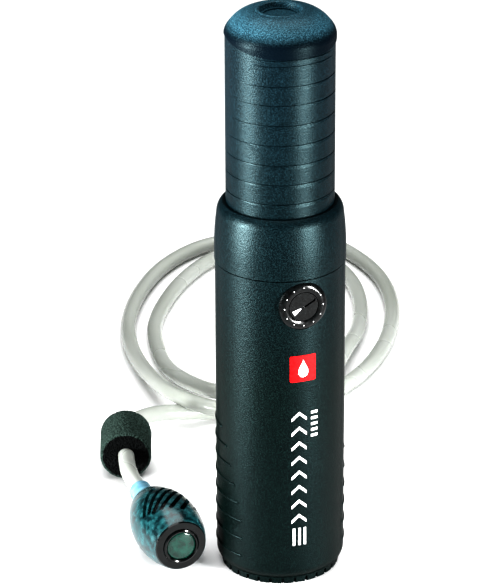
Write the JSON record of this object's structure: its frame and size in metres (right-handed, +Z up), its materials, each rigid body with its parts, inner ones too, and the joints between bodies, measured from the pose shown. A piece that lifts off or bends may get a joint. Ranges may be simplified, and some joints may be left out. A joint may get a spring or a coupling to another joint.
{
  "type": "pump water filter",
  "caption": "Hand-pumped ceramic water filter with telescoping ribbed handle, screw base, reminder dial, coiled intake hose, foam float and strainer.",
  "frame": {"origin": "centre of the base face, on the surface that the filter stands on", "axes": "+Z up along the body; -Y is the dial side; the hose leaves towards +Y"},
  "size_m": [0.232, 0.3883, 0.271],
  "materials": {
    "body": "fine speckled satin",
    "base": "satin",
    "dial": "glossy black",
    "dial_mark": "matt white print",
    "badge": "smooth red",
    "badge_mark": "matt white",
    "seal": "matt rubber",
    "ceramic": "unglazed, fine pores",
    "end_cap": "moulded",
    "cage": "moulded",
    "carbon": "granular",
    "felt": "pressed felt",
    "pump": "smooth moulded",
    "rod": "ground and polished",
    "nut": "turned",
    "hose": "milky translucent",
    "connector": "translucent light blue",
    "strainer": "glossy dark plastic",
    "screen": "woven wire",
    "weight": "turned",
    "foam": "open-cell foam"
  },
  "bodies": {
    "housing": {"lower_housing": "body", "badge": "badge", "badge_drop": "badge_mark", "dial_bezel": "dial", "upper_housing": "body", "head_seal": "seal", "outlet_spigot": "base", "inlet_cage": "cage", "outlet_cage": "cage", "ceramic_element": "ceramic", "element_cap_bottom": "end_cap", "element_cap_top": "end_cap", "element_stem": "end_cap", "stem_seal": "seal", "carbon_cage": "cage", "carbon_bed": "carbon", "felt_disc_lower": "felt", "felt_disc_upper": "felt", "pump_barrel": "pump", "guide_sleeve": "pump", "gland_nut": "end_cap", "rod_seal": "seal", "inlet_nipple": "base", "intake_hose": "hose", "strainer_shell": "strainer", "strainer_ring": "strainer", "strainer_screen": "screen", "strainer_weight": "weight", "hose_connector": "connector"},
    "handle": {"handle_sleeve": "body", "handle_plug": "base", "wear_ring": "cage", "pump_rod": "rod", "rod_nut": "nut", "piston": "end_cap", "piston_ring": "seal"},
    "dial": {"dial_pointer": "dial", "dial_arrow": "dial_mark", "dial_clip": "nut"},
    "inlet_disc": {"inlet_valve": "seal"},
    "outlet_disc": {"outlet_valve": "seal"},
    "base_seal": {"base_gasket": "seal"},
    "base": {"base_cap": "base"},
    "float": {"foam_float": "foam"},
    "strainer_end": {"strainer_cap": "strainer"}
  },
  "joints": [
    {"name": "handle_pump", "type": "slide", "parent": "housing", "child": "handle", "axis": [0, 0, 1], "range_m": [0, 0.06]},
    {"name": "dial_turn", "type": "hinge", "parent": "housing", "child": "dial", "pos_m": [0, -0.03, 0.1405], "axis": [0, -1, 0], "continuous": true},
    {"name": "inlet_lift", "type": "slide", "parent": "housing", "child": "inlet_disc", "axis": [0, 0, 1], "range_m": [0, 0.0012]},
    {"name": "outlet_lift", "type": "slide", "parent": "housing", "child": "outlet_disc", "axis": [0, 0, 1], "range_m": [0, 0.0012]},
    {"name": "base_out", "type": "slide", "parent": "housing", "child": "base_seal", "axis": [0, 0, -1], "range_m": [0, 0.012]},
    {"name": "base_turn", "type": "hinge", "parent": "base_seal", "child": "base", "pos_m": [0, 0, 0], "axis": [0, 0, -1], "range_deg": [0, 1080]},
    {"name": "float_slide", "type": "slide", "parent": "housing", "child": "float", "axis": [-0.3173, -0.9483, 0], "range_m": [0, 0.004]},
    {"name": "strainer_twist", "type": "hinge", "parent": "housing", "child": "strainer_end", "pos_m": [-0.05, 0, 0.016], "axis": [0, -1, 0], "range_deg": [0, 60]}
  ],
  "couplings": [
    {"joint": "base_turn", "follows": "base_out", "rad_per_m": 1570.8}
  ]
}
